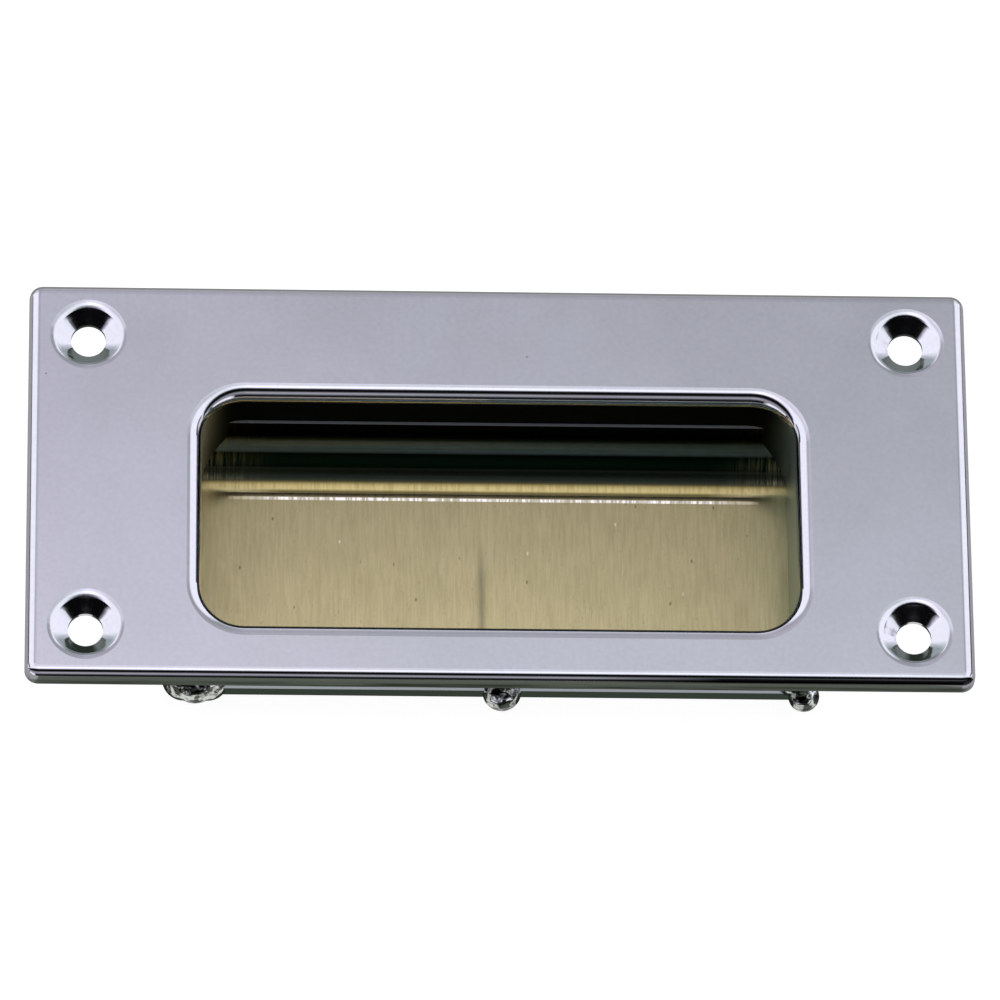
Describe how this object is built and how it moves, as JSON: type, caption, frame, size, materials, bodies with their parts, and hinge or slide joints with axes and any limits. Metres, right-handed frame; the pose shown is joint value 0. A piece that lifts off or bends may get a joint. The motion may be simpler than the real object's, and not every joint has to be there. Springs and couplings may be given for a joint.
{
  "type": "flush pull",
  "caption": "Rectangular flush pull with a turned-back skirt, corner screw dimples and a deep finger pocket closed by a coved back panel.",
  "frame": {"origin": "on the door face, where the plate's skirt lands, at the middle of the screw pattern", "axes": "+X along the plate, +Y towards its top edge, +Z out of the door towards the hand"},
  "size_m": [0.1206, 0.0552, 0.0182],
  "materials": {
    "plate_chrome": "polished",
    "panel_brass": "brushed",
    "solder": "as flowed"
  },
  "bodies": {
    "root": {"front_plate": "plate_chrome", "back_panel": "panel_brass", "outer_solder": "solder"}
  },
  "joints": []
}
